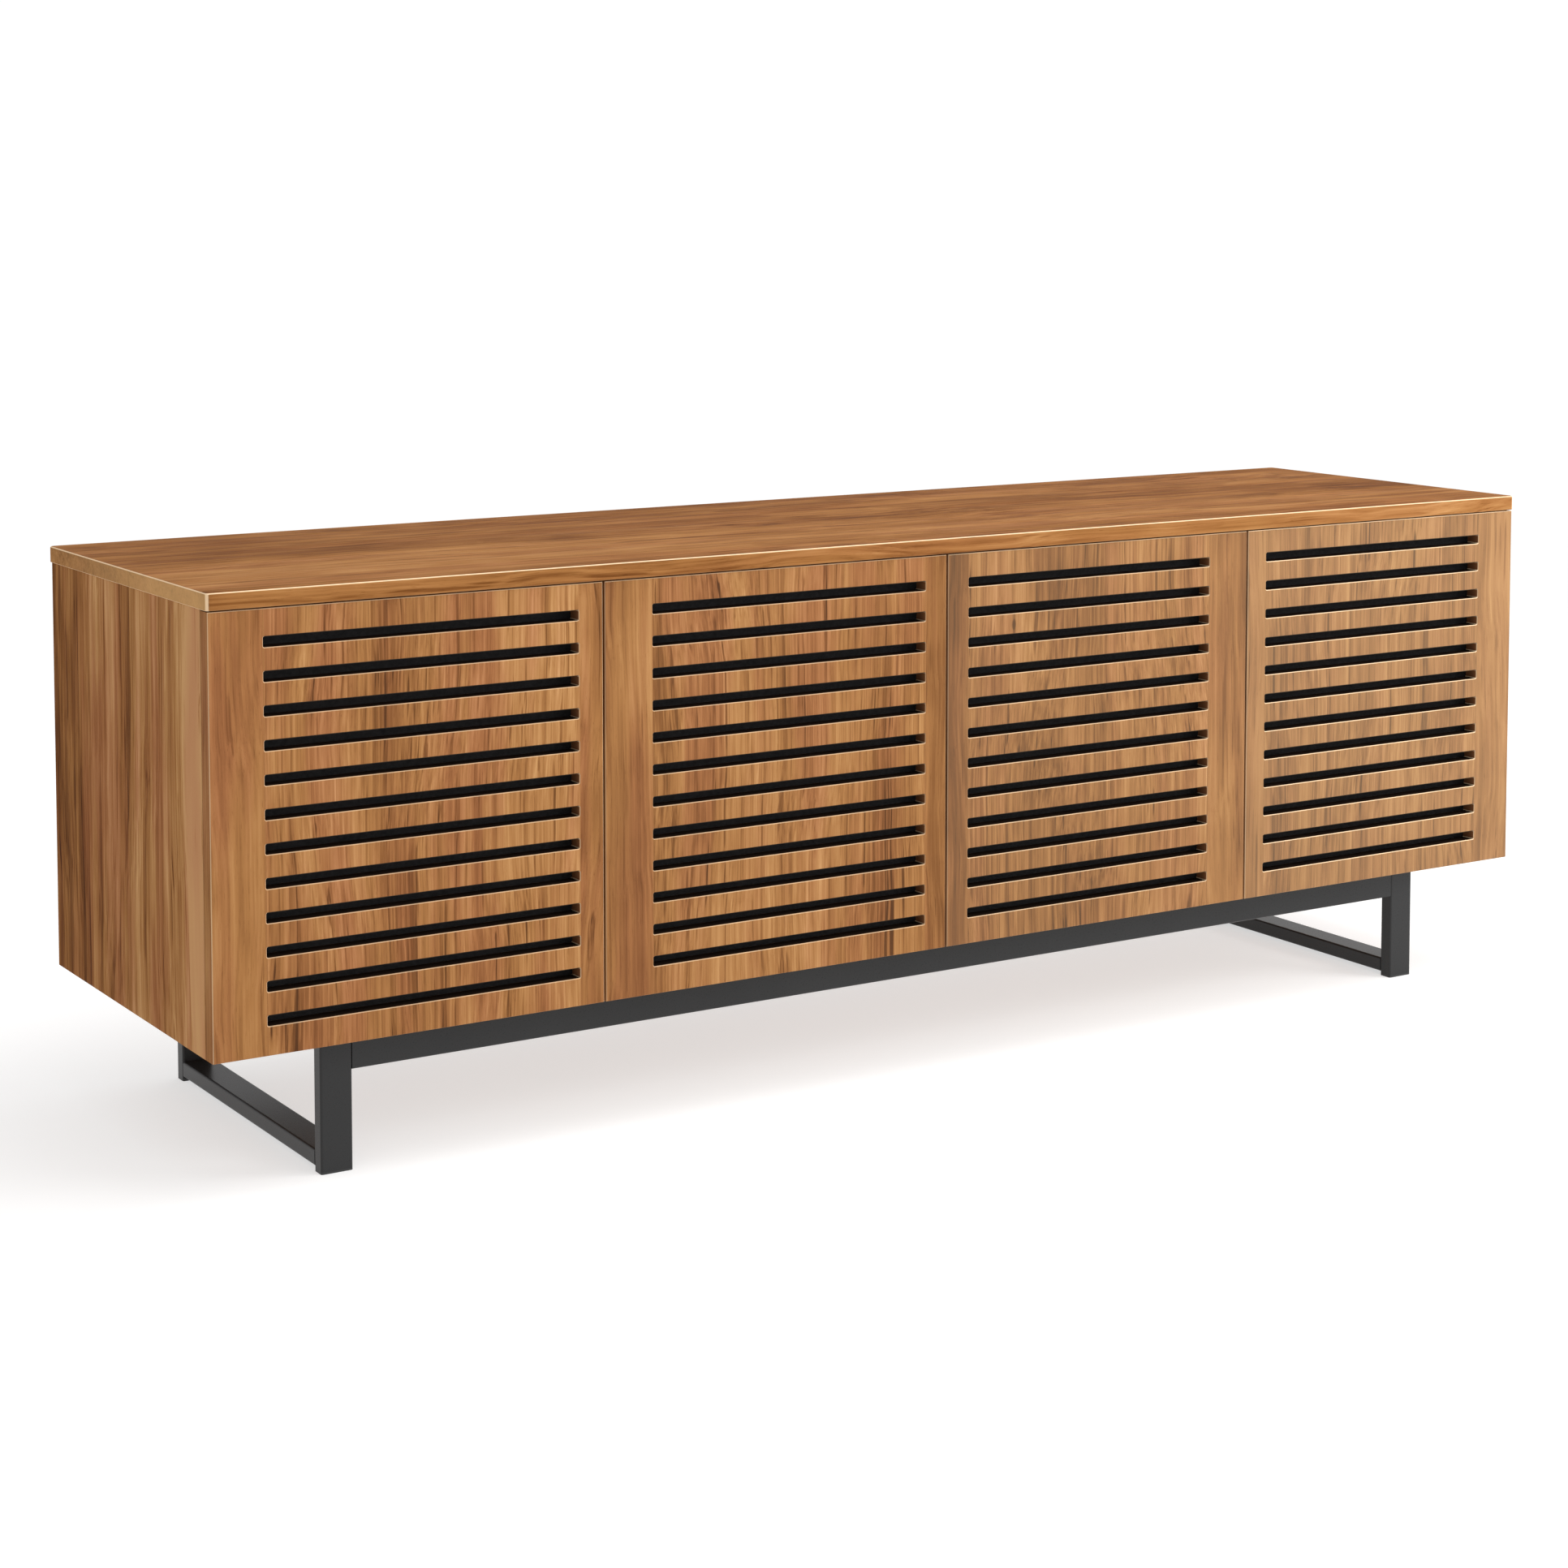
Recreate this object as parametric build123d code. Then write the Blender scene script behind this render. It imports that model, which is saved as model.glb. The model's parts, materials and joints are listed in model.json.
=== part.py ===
from build123d import *
from math import sin, radians
import os

# Low media cabinet with four louvre-slotted doors on a steel sled base.
# Millimetres. X is the width, -Y the front, Z up, origin on the floor under the middle of the top panel.

# Overall
TOP_LENGTH = 1803.0
TOP_DEPTH = 475.0
BOARD = 18.0
LEG_HEIGHT = 147.0
CARCASS_HEIGHT = 460.0
TOP_CORNER_R = 5.0
TOP_ARRIS = 2.0
TOP_UNDER_ARRIS = 0.5

# Doors
DOOR_WIDTH = 448.0
DOOR_GAP = 2.5
DOOR_THICK = 19.0
DOOR_TOP_GAP = 1.5
DOOR_BACK_GAP = 1.5
TOP_FRONT_OVERHANG = 1.5
DOOR_ARRIS = 0.8
DOOR_TRAVEL = 95.0

# Slots of a door, from its bottom edge up and from its hinge edge across
SLOT_COUNT = 12
SLOT_LENGTH = 360.0
SLOT_HEIGHT = 11.0
SLOT_PITCH = 35.3
SLOT_CORNER_R = 1.8
BOTTOM_RAIL = 30.5
HINGE_STILE = 59.0

# Cloth stretched on the back of each door
CLOTH_THICK = 1.0
CLOTH_MARGIN = 9.0

# Back panels
BACK_THICK = 8.0
BACK_INSET = 12.0
GROOVE_DEPTH = 5.0
FIT = 0.1
OVERCUT = 1.0
TOP_BACK_OVERHANG = 4.5
PORT_LENGTH = 140.0
PORT_HEIGHT = 50.0
PORT_RISE = 70.0

# Shelves
SHELF_SIDE_GAP = 1.0
SHELF_FRONT_SETBACK = 25.0
SHELF_BACK_GAP = 3.0
SHELF_PIN_R = 2.5
SHELF_PIN_OUT = 9.0
SHELF_PIN_IN = 8.0
SHELF_PIN_END = 60.0

# Base of rectangular steel tube
BASE_SIDE_INSET = 132.0
BASE_FRONT_INSET = 37.5
BASE_BACK_INSET = 18.5
POST_WIDTH = 36.0
TUBE = 18.0
TUBE_CORNER_R = 2.5
TUBE_WALL = 1.5
RAIL_HEIGHT = 40.0
RUNNER_LIFT = 5.0
CAP_THICK = 2.0
BASE_SCREW_R = 3.0
BASE_SCREW_BITE = 12.0
BASE_SCREW_END = 60.0
BASE_HEAD_R = 6.0
BASE_HEAD = 3.0

# Fasteners between panels
CAM_R = 7.4
CAM_DEPTH = 12.0
CAM_BACKSET = 24.0
BOLT_R = 3.4
BOLT_BITE = 11.0
DOWEL_R = 4.0
DOWEL_BITE = 10.0
DOWEL_LENGTH = 30.0
CAM_Y = 165.0
DOWEL_Y = 110.0

# Concealed hinges, in the door's own terms: u from its hinge edge, v back from its front face
AXIS_U = 6.0
AXIS_V = 5.0
HINGE_RISE = 75.0
CUP_U = 22.5
CUP_R = 17.5
CUP_DEPTH = 11.5
CUP_WALL = 1.5
CUP_FLANGE = 1.0
CUP_LIP = 2.0
ARM_HEIGHT = 11.0
ARM_THICK = 8.0
NOSE_U = 19.0
NOSE_V = 15.0
NOSE_BACK_V = 32.0
EAR_BACK_V = 26.0
EAR_GAP = 6.0
LINK_PIN_U = 23.0
LINK_PIN_V = 18.5
LINK_PIN_R = 1.5
LINK_CLEARANCE = 0.05
LINK_TIP_U = 33.0
LINK_TIP_V = 13.5
LINK_HALF_WIDTH = 2.8
LINK_THICK = 5.0
PLATE_THICK = 3.0
PLATE_V = 46.0
PLATE_LENGTH = 40.0
PLATE_HEIGHT = 44.0
PLATE_SCREW_V = 57.5
PLATE_SCREW_Z = 16.0
PLATE_SCREW_R = 2.2
PLATE_SCREW_BITE = 11.0
PLATE_HEAD_R = 4.0
PLATE_HEAD = 1.5
WING_WIDTH = 16.0
CLAMP_END = 12.0
CLAMP_R = 2.5

# Push latches under the top panel
LATCH_U = 415.0
LATCH_SIZE = 13.0
LATCH_LENGTH = 62.0
LATCH_ROUND = 2.0
LATCH_FRONT_V = 22.0
PLUNGER_R = 4.0
PLUNGER_CLEARANCE = 0.06
PLUNGER_LENGTH = 50.0
PLUNGER_ROOM = 2.0
PLUNGER_TIP_V = 20.4
PLUNGER_ROUND = 0.8
BUMPER_R = 4.0
BUMPER_THICK = 1.3
BUMPER_INSET = 5.0

# Worked out from the sizes above
FRONT_WIDTH = 4 * DOOR_WIDTH + 3 * DOOR_GAP
HALF = FRONT_WIDTH / 2
TOP_UNDER = LEG_HEIGHT + CARCASS_HEIGHT
FRONT_Y = -TOP_DEPTH / 2 + TOP_FRONT_OVERHANG
CARCASS_FRONT_Y = FRONT_Y + DOOR_THICK + DOOR_BACK_GAP
CARCASS_BACK_Y = TOP_DEPTH / 2 - TOP_BACK_OVERHANG
BACK_PANEL_Y = CARCASS_BACK_Y - BACK_INSET - BACK_THICK
FLOOR_TOP = LEG_HEIGHT + BOARD
INSIDE_HEIGHT = TOP_UNDER - FLOOR_TOP
DOOR_HEIGHT = CARCASS_HEIGHT - DOOR_TOP_GAP
DIVIDER_X = DOOR_WIDTH + DOOR_GAP
SHELF_TOP = FLOOR_TOP + INSIDE_HEIGHT / 2 + BOARD / 2
SHELF_FRONT_Y = CARCASS_FRONT_Y + SHELF_FRONT_SETBACK
SHELF_BACK_Y = BACK_PANEL_Y - SHELF_BACK_GAP
BASE_FRONT_Y = FRONT_Y + BASE_FRONT_INSET
BASE_BACK_Y = CARCASS_BACK_Y - BASE_BACK_INSET
POST_X = HALF - BASE_SIDE_INSET - POST_WIDTH / 2
WALL_U_END = BOARD
WALL_U_MIDDLE = (BOARD - DOOR_GAP) / 2
HINGE_HEIGHTS = (LEG_HEIGHT + HINGE_RISE, LEG_HEIGHT + DOOR_HEIGHT - HINGE_RISE)

# Name, X of the hinge edge, way to the free edge (+1 or -1), wall's distance past the hinge edge
DOORS = (
    ("left", -HALF, 1, WALL_U_END),
    ("centre_left", -DIVIDER_X + DOOR_GAP / 2, 1, WALL_U_MIDDLE),
    ("centre_right", DIVIDER_X - DOOR_GAP / 2, -1, WALL_U_MIDDLE),
    ("right", HALF, -1, WALL_U_END),
)

# Name, inner face of its left wall, inner face of its right wall
BAYS = (
    ("left", -HALF + BOARD, -DIVIDER_X - BOARD / 2),
    ("centre", -DIVIDER_X + BOARD / 2, DIVIDER_X - BOARD / 2),
    ("right", DIVIDER_X + BOARD / 2, HALF - BOARD),
)

os.makedirs("parts", exist_ok=True)


def block(x0, x1, y0, y1, z0, z1):
    """A box between two corners."""
    size = (abs(x1 - x0), abs(y1 - y0), abs(z1 - z0))
    return Pos((x0 + x1) / 2, (y0 + y1) / 2, (z0 + z1) / 2) * Box(*size)


def rod(start, end, radius):
    """A round bar between two points."""
    a = Vector(*start)
    b = Vector(*end)
    plane = Plane(origin=a, z_dir=b - a)
    return plane * Cylinder(radius, (b - a).length, align=(Align.CENTER, Align.CENTER, Align.MIN))


def save(name, *solids):
    """Writes one node, either one solid or a group of separate ones."""
    shape = solids[0] if len(solids) == 1 else Compound(children=list(solids))
    export_step(shape, f"parts/{name}.step")


# --- Fasteners between panels -------------------------------------------------------------------

def panel_joints():
    """Each joint between boards: the cam's edge point, its bolt's way, the way its cam is put in."""
    side_x = HALF - BOARD / 2
    floor_mid = LEG_HEIGHT + BOARD / 2
    joints = []
    for way in (-1, 1):
        joints.append(((way * side_x, TOP_UNDER), (0, 1), (-way, 0)))
        joints.append(((way * DIVIDER_X, TOP_UNDER), (0, 1), (-way, 0)))
        joints.append(((way * DIVIDER_X, FLOOR_TOP), (0, -1), (-way, 0)))
        joints.append(((way * (HALF - BOARD), floor_mid), (way, 0), (0, -1)))
    return joints


def joint_point(joint, along, across, y):
    """A point at a panel joint: along the bolt past the edge, and across towards the cam's mouth."""
    (x, z), bolt_way, cam_way = joint
    return (
        x + along * bolt_way[0] + across * cam_way[0],
        y,
        z + along * bolt_way[1] + across * cam_way[1],
    )


def cams(radius, top, bottom):
    """Discs at every cam place, between two levels measured from the board's middle to the cam's mouth."""
    return [
        rod(joint_point(j, -CAM_BACKSET, bottom, y), joint_point(j, -CAM_BACKSET, top, y), radius)
        for j in panel_joints()
        for y in (-CAM_Y, CAM_Y)
    ]


def bolts(radius, inner, outer):
    return [
        rod(joint_point(j, -inner, 0, y), joint_point(j, outer, 0, y), radius)
        for j in panel_joints()
        for y in (-CAM_Y, CAM_Y)
    ]


def dowels(radius, slack):
    """Wooden pins beside the cams, with an end slack for their holes."""
    inner = DOWEL_LENGTH - DOWEL_BITE + slack
    outer = DOWEL_BITE + slack
    return [
        rod(joint_point(j, -inner, 0, y), joint_point(j, outer, 0, y), radius)
        for j in panel_joints()
        for y in (-DOWEL_Y, DOWEL_Y)
    ]


def drill(panel, cutters):
    """Cuts from a panel the cutters that reach it."""
    box = panel.bounding_box()
    for cutter in cutters:
        other = cutter.bounding_box()
        clear = (
            other.max.X < box.min.X
            or other.min.X > box.max.X
            or other.max.Y < box.min.Y
            or other.min.Y > box.max.Y
            or other.max.Z < box.min.Z
            or other.min.Z > box.max.Z
        )
        if not clear:
            panel = panel - cutter
    return panel


def fastener_holes():
    mouth = BOARD / 2
    cut = cams(CAM_R + FIT, mouth + OVERCUT, mouth - CAM_DEPTH - FIT)
    cut += bolts(BOLT_R + FIT, CAM_BACKSET, BOLT_BITE + FIT)
    cut += dowels(DOWEL_R, FIT)
    return cut


def make_fasteners():
    mouth = BOARD / 2
    slots = bolts(BOLT_R + 2 * FIT, CAM_BACKSET, 0)
    discs = cams(CAM_R, mouth, mouth - CAM_DEPTH)
    save("cam_locks", *[disc - slot for disc, slot in zip(discs, slots)])
    save("cam_bolts", *bolts(BOLT_R, CAM_BACKSET - CAM_R / 2, BOLT_BITE))
    save("dowels", *dowels(DOWEL_R, 0))


# --- Hinges and latches in cabinet terms --------------------------------------------------------

def at(door, u, v):
    """The cabinet X and Y of a point given in a door's own terms."""
    return (door[1] + door[2] * u, FRONT_Y + v)


def door_block(door, u0, u1, v0, v1, z0, z1):
    x0, y0 = at(door, u0, v0)
    x1, y1 = at(door, u1, v1)
    return block(x0, x1, y0, y1, z0, z1)


def upright(door, u, v, z0, z1, radius):
    x, y = at(door, u, v)
    return rod((x, y, z0), (x, y, z1), radius)


def outline(door, points, z, height):
    """A plate of the given outline, centred on a height."""
    corners = [at(door, u, v) for u, v in points]
    face = make_face(Polyline(*corners, close=True))
    return Pos(0, 0, z - height / 2) * extrude(face, height, dir=(0, 0, 1))


def hinge_arm(door, z):
    """A cranked arm from the wall plate to an eared nose at the cup's mouth."""
    base = door[3] + PLATE_THICK
    nose_end = NOSE_U + ARM_THICK
    plate_end = PLATE_V + PLATE_LENGTH
    points = (
        (base, plate_end),
        (base + ARM_THICK, plate_end),
        (base + ARM_THICK, PLATE_V),
        (nose_end, NOSE_BACK_V),
        (nose_end, NOSE_V),
        (NOSE_U, NOSE_V),
        (NOSE_U, NOSE_BACK_V),
        (base, PLATE_V),
    )
    arm = outline(door, points, z, ARM_HEIGHT)
    gap = EAR_GAP / 2
    near = NOSE_U - OVERCUT
    far = nose_end + OVERCUT
    arm -= door_block(door, near, far, NOSE_V - OVERCUT, EAR_BACK_V, z - gap, z + gap)
    arm -= upright(door, LINK_PIN_U, LINK_PIN_V, z - ARM_HEIGHT, z + ARM_HEIGHT, LINK_PIN_R)
    return arm - clamp_screw(door, z, FIT)


def hinge_pin(door, z):
    half = ARM_HEIGHT / 2
    return upright(door, LINK_PIN_U, LINK_PIN_V, z - half, z + half, LINK_PIN_R)


def hinge_link(door, z):
    """A round-ended bar that turns on the nose's pin."""
    run = Vector(LINK_TIP_U - LINK_PIN_U, LINK_TIP_V - LINK_PIN_V)
    side = Vector(-run.Y, run.X).normalized() * LINK_HALF_WIDTH
    ends = (Vector(LINK_PIN_U, LINK_PIN_V), Vector(LINK_TIP_U, LINK_TIP_V))
    points = [(p.X, p.Y) for p in (ends[0] + side, ends[1] + side, ends[1] - side, ends[0] - side)]
    low = z - LINK_THICK / 2
    high = z + LINK_THICK / 2
    link = outline(door, points, z, LINK_THICK)
    for end in ends:
        link += upright(door, end.X, end.Y, low, high, LINK_HALF_WIDTH)
    radius = LINK_PIN_R + LINK_CLEARANCE
    return link - upright(door, LINK_PIN_U, LINK_PIN_V, low - OVERCUT, high + OVERCUT, radius)


def hinge_plate(door, z):
    """A wing plate on the wall, drilled for two screws and the arm's clamp screw."""
    wall = door[3]
    half = PLATE_HEIGHT / 2
    end = PLATE_V + PLATE_LENGTH
    spine = ARM_HEIGHT / 2
    wing_v0 = PLATE_SCREW_V - WING_WIDTH / 2
    plate = door_block(door, wall, wall + PLATE_THICK, PLATE_V, end, z - spine, z + spine)
    plate += door_block(door, wall, wall + PLATE_THICK, wing_v0, wing_v0 + WING_WIDTH, z - half, z + half)
    for hole in plate_screws(door, z, FIT):
        plate -= hole
    return plate - clamp_screw(door, z, FIT)


def plate_screws(door, z, slack):
    """The two wood screws of a wall plate, or with slack their holes."""
    screws = []
    for rise in (-PLATE_SCREW_Z, PLATE_SCREW_Z):
        x0, y = at(door, door[3] - PLATE_SCREW_BITE, PLATE_SCREW_V)
        x1, _ = at(door, door[3] + PLATE_THICK, 0)
        screws.append(rod((x0, y, z + rise), (x1, y, z + rise), PLATE_SCREW_R + slack))
    return screws


def clamp_screw(door, z, slack):
    """The screw that clamps an arm to its plate, or with slack its hole."""
    x0, y = at(door, door[3], PLATE_V + PLATE_LENGTH - CLAMP_END)
    x1, _ = at(door, door[3] + PLATE_THICK + ARM_THICK, 0)
    return rod((x0, y, z), (x1, y, z), CLAMP_R + slack)


def screw_head(door, z, rise):
    """The flat head of a plate screw."""
    x0, y = at(door, door[3] + PLATE_THICK, PLATE_SCREW_V)
    x1, _ = at(door, door[3] + PLATE_THICK + PLATE_HEAD, 0)
    return rod((x0, y, z + rise), (x1, y, z + rise), PLATE_HEAD_R)


def hinge_cup(door, z):
    """A round cup let into the door's back, with a thin flange on the back face."""
    back = FRONT_Y + DOOR_THICK
    x, _ = at(door, CUP_U, 0)
    cup = rod((x, back, z), (x, back - CUP_DEPTH, z), CUP_R)
    cup += rod((x, back, z), (x, back + CUP_FLANGE, z), CUP_R + CUP_LIP)
    floor = back - CUP_DEPTH + CUP_WALL
    return cup - rod((x, floor, z), (x, back + CUP_FLANGE + OVERCUT, z), CUP_R - CUP_WALL)


def latch_place(door):
    x, y = at(door, LATCH_U, LATCH_FRONT_V)
    return x, y, TOP_UNDER - LATCH_SIZE / 2


def latch_housing(door):
    x, y, z = latch_place(door)
    half = LATCH_SIZE / 2
    body = block(x - half, x + half, y, y + LATCH_LENGTH, z - half, z + half)
    body = fillet(body.edges().filter_by(Axis.Y).sort_by(Axis.Z)[:2], LATCH_ROUND)
    bore_end = y + PLUNGER_LENGTH + PLUNGER_ROOM
    return body - rod((x, y - OVERCUT, z), (x, bore_end, z), PLUNGER_R + PLUNGER_CLEARANCE)


def latch_plunger(door):
    x, _, z = latch_place(door)
    tip = FRONT_Y + PLUNGER_TIP_V
    plunger = rod((x, tip, z), (x, tip + PLUNGER_LENGTH, z), PLUNGER_R)
    return fillet(plunger.edges().sort_by(Axis.Y)[0], PLUNGER_ROUND)


def make_hinges_and_latches():
    places = [(door, z) for door in DOORS for z in HINGE_HEIGHTS]
    save("hinge_plates", *[hinge_plate(*place) for place in places])
    save("hinge_arms", *[hinge_arm(*place) for place in places])
    save("hinge_pins", *[hinge_pin(*place) for place in places])
    screws = [clamp_screw(*place, 0) for place in places]
    for door, z in places:
        heads = [screw_head(door, z, rise) for rise in (-PLATE_SCREW_Z, PLATE_SCREW_Z)]
        screws += [shank + head for shank, head in zip(plate_screws(door, z, 0), heads)]
    save("hinge_screws", *screws)
    save("latch_housings", *[latch_housing(door) for door in DOORS])
    for door in DOORS:
        save(f"{door[0]}_hinge_links", *[hinge_link(door, z) for z in HINGE_HEIGHTS])
        save(f"{door[0]}_latch_plunger", latch_plunger(door))


def wall_screw_holes():
    """Pilot holes for the hinge plates' screws."""
    return [hole for door in DOORS for z in HINGE_HEIGHTS for hole in plate_screws(door, z, 0)]


# --- Doors --------------------------------------------------------------------------------------

def door_panel(door):
    """One slab with rows of long round-cornered slots, eased on its front edges."""
    top = LEG_HEIGHT + DOOR_HEIGHT
    panel = door_block(door, 0, DOOR_WIDTH, 0, DOOR_THICK, LEG_HEIGHT, top)
    slot_mid, _ = at(door, HINGE_STILE + SLOT_LENGTH / 2, 0)
    slots = Sketch()
    for row in range(SLOT_COUNT):
        height = LEG_HEIGHT + BOTTOM_RAIL + row * SLOT_PITCH + SLOT_HEIGHT / 2
        slots += Pos(slot_mid, height) * RectangleRounded(SLOT_LENGTH, SLOT_HEIGHT, SLOT_CORNER_R)
    front = Plane(origin=(0, FRONT_Y - OVERCUT, 0), x_dir=(1, 0, 0), z_dir=(0, -1, 0))
    panel -= extrude(front * slots, -(DOOR_THICK + 2 * OVERCUT))
    panel = chamfer(panel.faces().sort_by(Axis.Y)[0].edges(), DOOR_ARRIS)
    back = FRONT_Y + DOOR_THICK
    x, _ = at(door, CUP_U, 0)
    for z in HINGE_HEIGHTS:
        panel -= rod((x, back - CUP_DEPTH, z), (x, back + OVERCUT, z), CUP_R)
    return panel


def door_cloth(door):
    """The sheet of cloth that is stretched over the slots from behind."""
    low = LEG_HEIGHT + BOTTOM_RAIL - CLOTH_MARGIN
    high = LEG_HEIGHT + BOTTOM_RAIL + (SLOT_COUNT - 1) * SLOT_PITCH + SLOT_HEIGHT + CLOTH_MARGIN
    near = HINGE_STILE - CLOTH_MARGIN
    far = HINGE_STILE + SLOT_LENGTH + CLOTH_MARGIN
    return door_block(door, near, far, DOOR_THICK, DOOR_THICK + CLOTH_THICK, low, high)


def door_bumpers(door):
    """Two soft dots behind the free edge, which land on the wall or rail behind the door."""
    back = FRONT_Y + DOOR_THICK
    x, _ = at(door, DOOR_WIDTH - BUMPER_INSET, 0)
    heights = (LEG_HEIGHT + BOARD / 2, LEG_HEIGHT + DOOR_HEIGHT - BOARD / 2)
    return [rod((x, back, z), (x, back + BUMPER_THICK, z), BUMPER_R) for z in heights]


def make_doors():
    for door in DOORS:
        save(f"{door[0]}_door_panel", door_panel(door))
        save(f"{door[0]}_door_cloth", door_cloth(door))
        save(f"{door[0]}_hinge_cups", *[hinge_cup(door, z) for z in HINGE_HEIGHTS])
        save(f"{door[0]}_door_bumpers", *door_bumpers(door))


# --- Carcass ------------------------------------------------------------------------------------

def back_groove(x0, x1, z0, z1):
    """Room for a back panel's edge."""
    return block(x0, x1, BACK_PANEL_Y - FIT, BACK_PANEL_Y + BACK_THICK + FIT, z0, z1)


def bay_grooves():
    """The room that the three back panels take, with their fit."""
    deep = GROOVE_DEPTH + FIT
    return [
        back_groove(x0 - deep, x1 + deep, FLOOR_TOP - deep, TOP_UNDER + deep)
        for _, x0, x1 in BAYS
    ]


def top_panel():
    flat = RectangleRounded(TOP_LENGTH, TOP_DEPTH, TOP_CORNER_R)
    panel = Pos(0, 0, TOP_UNDER) * extrude(flat, BOARD)
    panel = fillet(panel.faces().sort_by(Axis.Z)[-1].edges(), TOP_ARRIS)
    return chamfer(panel.faces().sort_by(Axis.Z)[0].edges(), TOP_UNDER_ARRIS)


def side_panel(way):
    x = way * (HALF - BOARD)
    return block(x, way * HALF, CARCASS_FRONT_Y, CARCASS_BACK_Y, LEG_HEIGHT, TOP_UNDER)


def bottom_panel():
    x = HALF - BOARD
    return block(-x, x, CARCASS_FRONT_Y, CARCASS_BACK_Y, LEG_HEIGHT, FLOOR_TOP)


def divider(way):
    x = way * DIVIDER_X
    half = BOARD / 2
    return block(x - half, x + half, CARCASS_FRONT_Y, CARCASS_BACK_Y, FLOOR_TOP, TOP_UNDER)


def back_panel(x0, x1):
    """A thin board held in grooves, with a round-ended cable port low in its middle."""
    deep = GROOVE_DEPTH
    y1 = BACK_PANEL_Y + BACK_THICK
    board = block(x0 - deep, x1 + deep, BACK_PANEL_Y, y1, FLOOR_TOP - deep, TOP_UNDER + deep)
    middle = (x0 + x1) / 2
    port = Pos(middle, FLOOR_TOP + PORT_RISE) * SlotOverall(PORT_LENGTH, PORT_HEIGHT)
    front = Plane(origin=(0, BACK_PANEL_Y - OVERCUT, 0), x_dir=(1, 0, 0), z_dir=(0, -1, 0))
    return board - extrude(front * port, -(BACK_THICK + 2 * OVERCUT))


def shelf(x0, x1):
    gap = SHELF_SIDE_GAP
    z0 = SHELF_TOP - BOARD
    return block(x0 + gap, x1 - gap, SHELF_FRONT_Y, SHELF_BACK_Y, z0, SHELF_TOP)


def shelf_pins(slack):
    """Two steel pins at each end of every shelf, or with slack their holes."""
    pins = []
    z = SHELF_TOP - BOARD - SHELF_PIN_R
    for _, x0, x1 in BAYS:
        for wall, way in ((x0, 1), (x1, -1)):
            for y in (SHELF_FRONT_Y + SHELF_PIN_END, SHELF_BACK_Y - SHELF_PIN_END):
                start = (wall - way * (SHELF_PIN_IN + slack), y, z)
                end = (wall + way * SHELF_PIN_OUT, y, z)
                pins.append(rod(start, end, SHELF_PIN_R))
    return pins


def make_carcass():
    holes = fastener_holes() + bay_grooves() + wall_screw_holes() + shelf_pins(FIT)
    save("top_panel", drill(top_panel(), holes))
    save("bottom_panel", drill(bottom_panel(), holes + base_screws(BASE_SCREW_R)))
    save("left_side_panel", drill(side_panel(-1), holes))
    save("right_side_panel", drill(side_panel(1), holes))
    save("left_divider", drill(divider(-1), holes))
    save("right_divider", drill(divider(1), holes))
    for name, x0, x1 in BAYS:
        save(f"{name}_back_panel", back_panel(x0, x1))
        save(f"{name}_shelf", shelf(x0, x1))
    save("shelf_pins", *shelf_pins(0))


# --- Base ---------------------------------------------------------------------------------------

def tube(x0, x1, y0, y1, z0, z1, run):
    """A rectangular tube with rounded long edges, open at the ends of its run."""
    outer = block(x0, x1, y0, y1, z0, z1)
    outer = fillet(outer.edges().filter_by(run), TUBE_CORNER_R)
    wall_x = -OVERCUT if run == Axis.X else TUBE_WALL
    wall_y = -OVERCUT if run == Axis.Y else TUBE_WALL
    wall_z = -OVERCUT if run == Axis.Z else TUBE_WALL
    inner = block(x0 + wall_x, x1 - wall_x, y0 + wall_y, y1 - wall_y, z0 + wall_z, z1 - wall_z)
    return outer - inner


def post_span(side):
    """The two X limits of the posts on one side."""
    x = side * POST_X
    return x - POST_WIDTH / 2, x + POST_WIDTH / 2


def base_screws(radius):
    """Shanks that pass the top bars and bite into the bottom panel."""
    screws = []
    for side in (-1, 1):
        middle = (BASE_FRONT_Y + BASE_BACK_Y) / 2
        for y in (BASE_FRONT_Y + BASE_SCREW_END, middle, BASE_BACK_Y - BASE_SCREW_END):
            start = (side * POST_X, y, LEG_HEIGHT - TUBE - FIT)
            end = (side * POST_X, y, LEG_HEIGHT + BASE_SCREW_BITE)
            screws.append(rod(start, end, radius))
    return screws


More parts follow.
